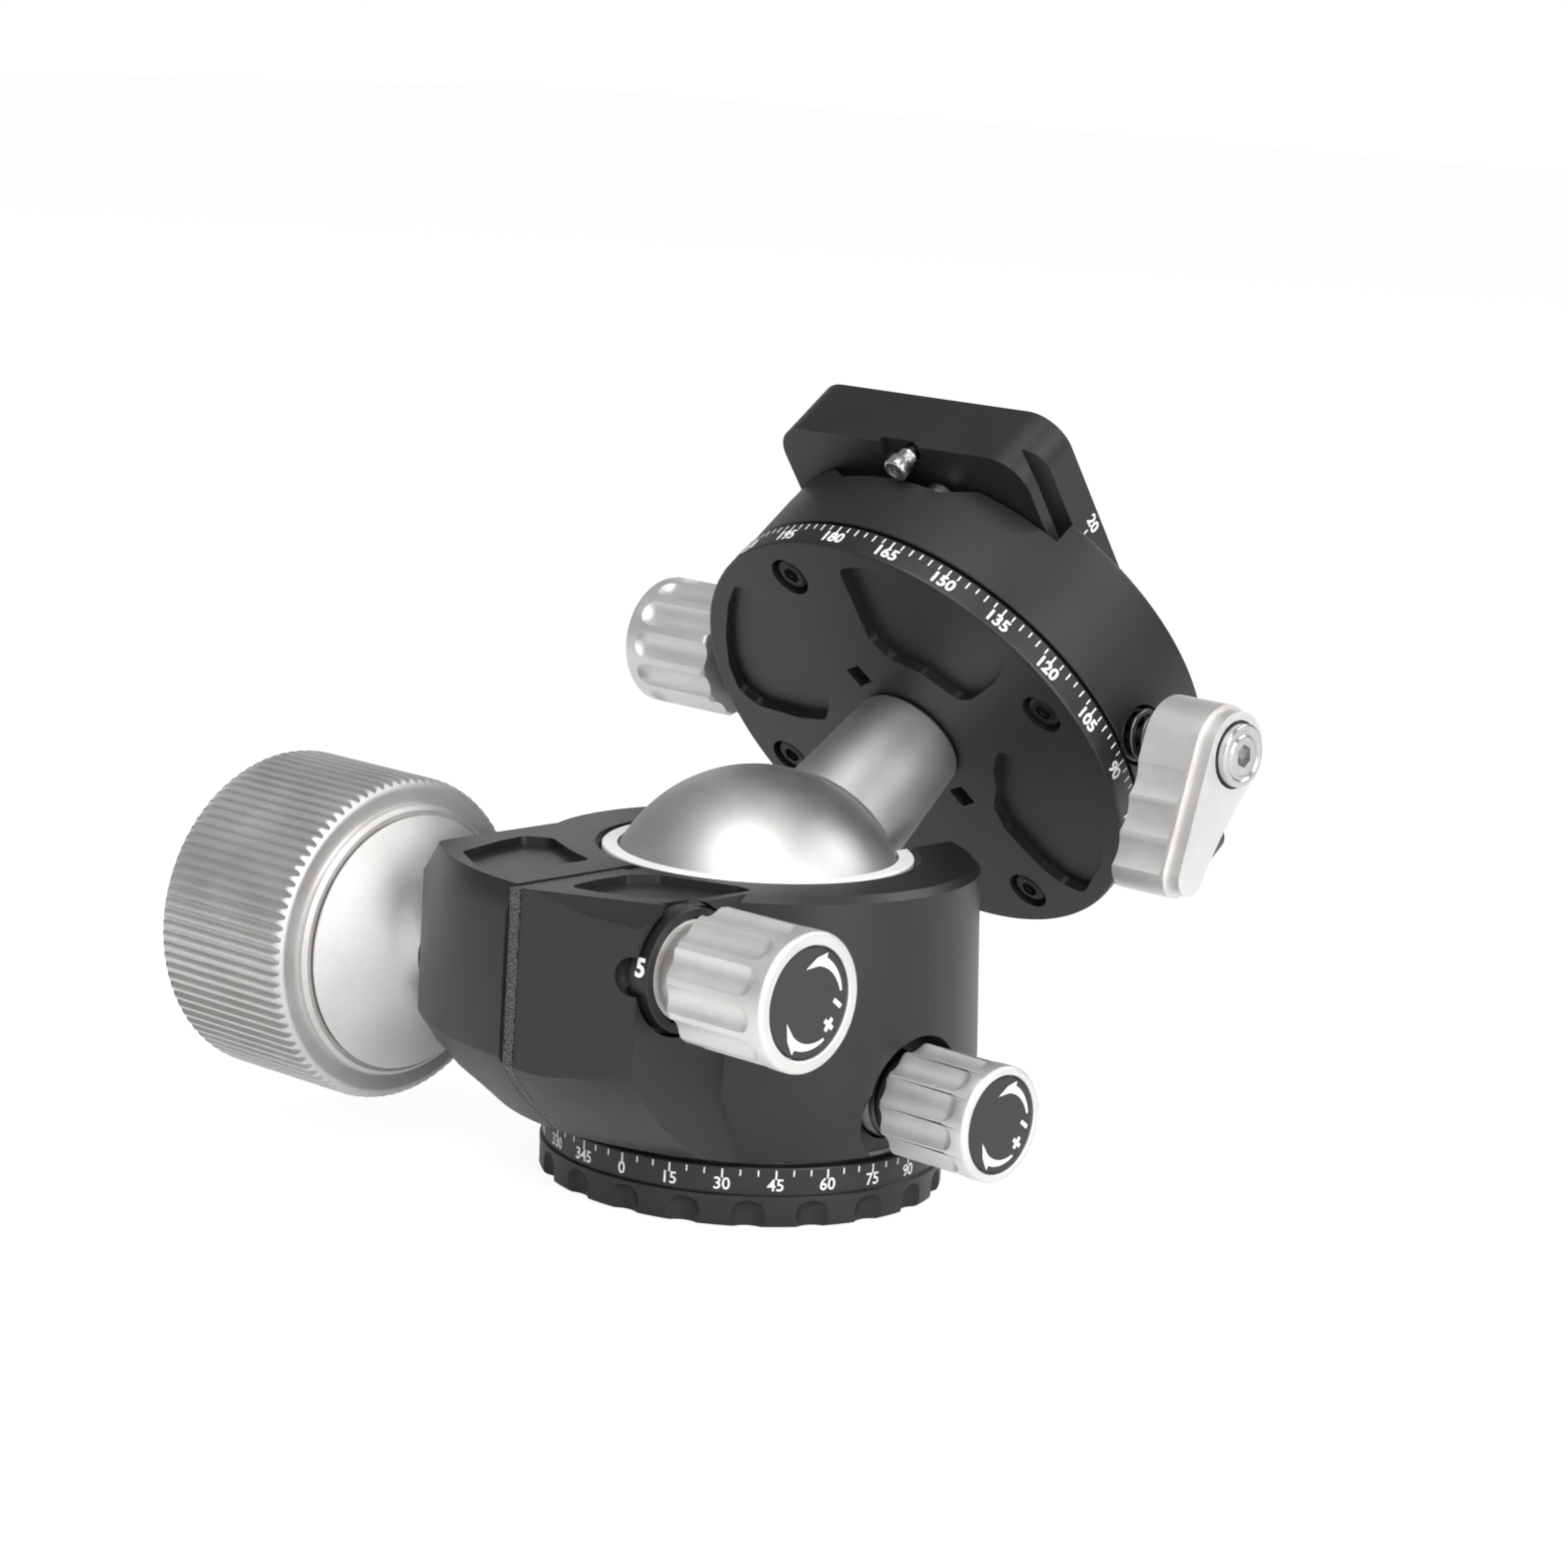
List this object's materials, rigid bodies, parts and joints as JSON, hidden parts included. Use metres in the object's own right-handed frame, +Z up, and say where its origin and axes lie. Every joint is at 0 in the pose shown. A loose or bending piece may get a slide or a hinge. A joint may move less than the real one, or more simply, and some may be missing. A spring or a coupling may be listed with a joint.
{
  "type": "tripod ball head",
  "caption": "Ball head with a split clamp housing, panning scaled base, tilting ball, panning drum clamp with a lever, and a sliding dovetail camera plate.",
  "frame": {"origin": "centre of the tripod socket at the underside of the base ring, on the pan axis", "axes": "+Z up along the pan axis, +Y towards the drop notch that the stem tilts into, +X towards the friction knob, the pan lock knob and the clamp lever, -X towards the main clamp knob"},
  "size_m": [0.097, 0.1125, 0.0899],
  "materials": {
    "black_alloy": "satin black anodised",
    "silver_alloy": "fine bead-blasted, clear anodised",
    "steel": "turned and zinc plated",
    "spring_steel": "drawn, bare",
    "brass": "turned",
    "white_polymer": "moulded, smooth",
    "dark_seal": "speckled seal",
    "black_rubber": "fine grained"
  },
  "bodies": {
    "base": {"base_ring": "black_alloy", "thread_insert": "steel", "pan_thrust_washer": "white_polymer", "pan_spindle": "silver_alloy", "base_screw_1": "steel", "base_screw_2": "steel", "base_screw_3": "steel", "lower_seat": "white_polymer", "seat_spring": "spring_steel"},
    "housing": {"housing": "black_alloy", "spindle_ring": "black_alloy", "ball_liner": "white_polymer", "slit_seal": "dark_seal", "knob_collar": "silver_alloy", "clamp_nut": "steel", "pan_lock_bushing": "silver_alloy"},
    "main_knob": {"main_knob_grip": "silver_alloy", "main_knob_cap": "black_alloy", "clamp_screw": "steel"},
    "friction_plunger": {"friction_plunger": "brass"},
    "friction_knob": {"friction_dial": "silver_alloy", "friction_knob_grip": "silver_alloy", "friction_knob_cap": "black_alloy", "friction_screw": "steel"},
    "pan_lock_shoe": {"pan_lock_shoe": "brass"},
    "pan_lock_knob": {"pan_lock_washer": "black_rubber", "pan_lock_grip": "silver_alloy", "pan_lock_cap": "black_alloy", "pan_lock_screw": "steel"},
    "ball": {"ball_and_stem": "silver_alloy", "scale_plate": "black_alloy", "plate_screw_1": "steel", "plate_screw_2": "steel", "plate_screw_3": "steel", "plate_screw_4": "steel", "pan_post": "silver_alloy", "drum_retainer": "steel", "centre_screw": "steel"},
    "drum": {"drum": "black_alloy", "drum_thrust_washer": "white_polymer", "fixed_jaw": "black_alloy", "jaw_screw_1": "steel", "jaw_screw_2": "steel", "jaw_spring": "spring_steel", "lever_coil": "spring_steel", "drum_lock_bushing": "silver_alloy"},
    "jaw": {"movable_jaw": "black_alloy", "pull_rod": "steel"},
    "lever": {"clamp_lever": "silver_alloy", "lever_screw": "steel"},
    "drum_lock_shoe": {"drum_lock_shoe": "brass"},
    "drum_lock_knob": {"drum_lock_washer": "black_rubber", "drum_lock_grip": "silver_alloy", "drum_lock_cap": "black_alloy", "drum_lock_screw": "steel"},
    "camera_plate": {"camera_plate": "black_alloy", "plate_pad": "black_rubber", "stop_screw_1": "steel", "stop_screw_2": "steel", "camera_screw": "steel"}
  },
  "joints": [
    {"name": "base_pan", "type": "hinge", "parent": "base", "child": "housing", "pos_m": [0, 0, 0], "axis": [0, 0, 1], "continuous": true},
    {"name": "ball_tilt", "type": "hinge", "parent": "housing", "child": "ball", "pos_m": [0, 0, 0.0302], "axis": [-1, 0, 0], "range_deg": [-69, 36]},
    {"name": "top_pan", "type": "hinge", "parent": "ball", "child": "drum", "pos_m": [0, 0, 0.0302], "axis": [0, 0.8085, 0.5885], "continuous": true},
    {"name": "lever_turn", "type": "hinge", "parent": "drum", "child": "lever", "pos_m": [0, 0.03226, 0.05368], "axis": [1, 0, 0], "range_deg": [0, 100]},
    {"name": "jaw_slide", "type": "slide", "parent": "drum", "child": "jaw", "axis": [1, 0, 0], "range_m": [0, 0.002]},
    {"name": "plate_slide", "type": "slide", "parent": "drum", "child": "camera_plate", "axis": [0, -0.5885, 0.8085], "range_m": [0, 0.0044]},
    {"name": "main_knob_turn", "type": "hinge", "parent": "housing", "child": "main_knob", "pos_m": [0, -0.026, 0.0248], "axis": [-1, 0, 0], "range_deg": [0, 270]},
    {"name": "friction_knob_turn", "type": "hinge", "parent": "housing", "child": "friction_knob", "pos_m": [0, -0.0286, 0.0313], "axis": [1, 0, 0], "range_deg": [-150, 150]},
    {"name": "friction_plunger_slide", "type": "slide", "parent": "housing", "child": "friction_plunger", "axis": [1, 0, 0], "range_m": [-0.00042, 0.00042]},
    {"name": "pan_lock_turn", "type": "hinge", "parent": "housing", "child": "pan_lock_knob", "pos_m": [0, 0, 0.0142], "axis": [1, 0, 0], "range_deg": [0, 270]},
    {"name": "pan_lock_shoe_slide", "type": "slide", "parent": "housing", "child": "pan_lock_shoe", "axis": [1, 0, 0], "range_m": [0, 0.0005]},
    {"name": "drum_lock_turn", "type": "hinge", "parent": "drum", "child": "drum_lock_knob", "pos_m": [0, 0.03226, 0.05368], "axis": [-1, 0, 0], "range_deg": [0, 270]},
    {"name": "drum_lock_shoe_slide", "type": "slide", "parent": "drum", "child": "drum_lock_shoe", "axis": [-1, 0, 0], "range_m": [0, 0.0005]}
  ],
  "couplings": [
    {"joint": "lever_turn", "follows": "jaw_slide", "rad_per_m": 872.66},
    {"joint": "friction_plunger_slide", "follows": "friction_knob_turn", "m_per_rad": 0.000153},
    {"joint": "pan_lock_shoe_slide", "follows": "pan_lock_turn", "m_per_rad": 0.000106},
    {"joint": "drum_lock_shoe_slide", "follows": "drum_lock_turn", "m_per_rad": 0.000106}
  ]
}
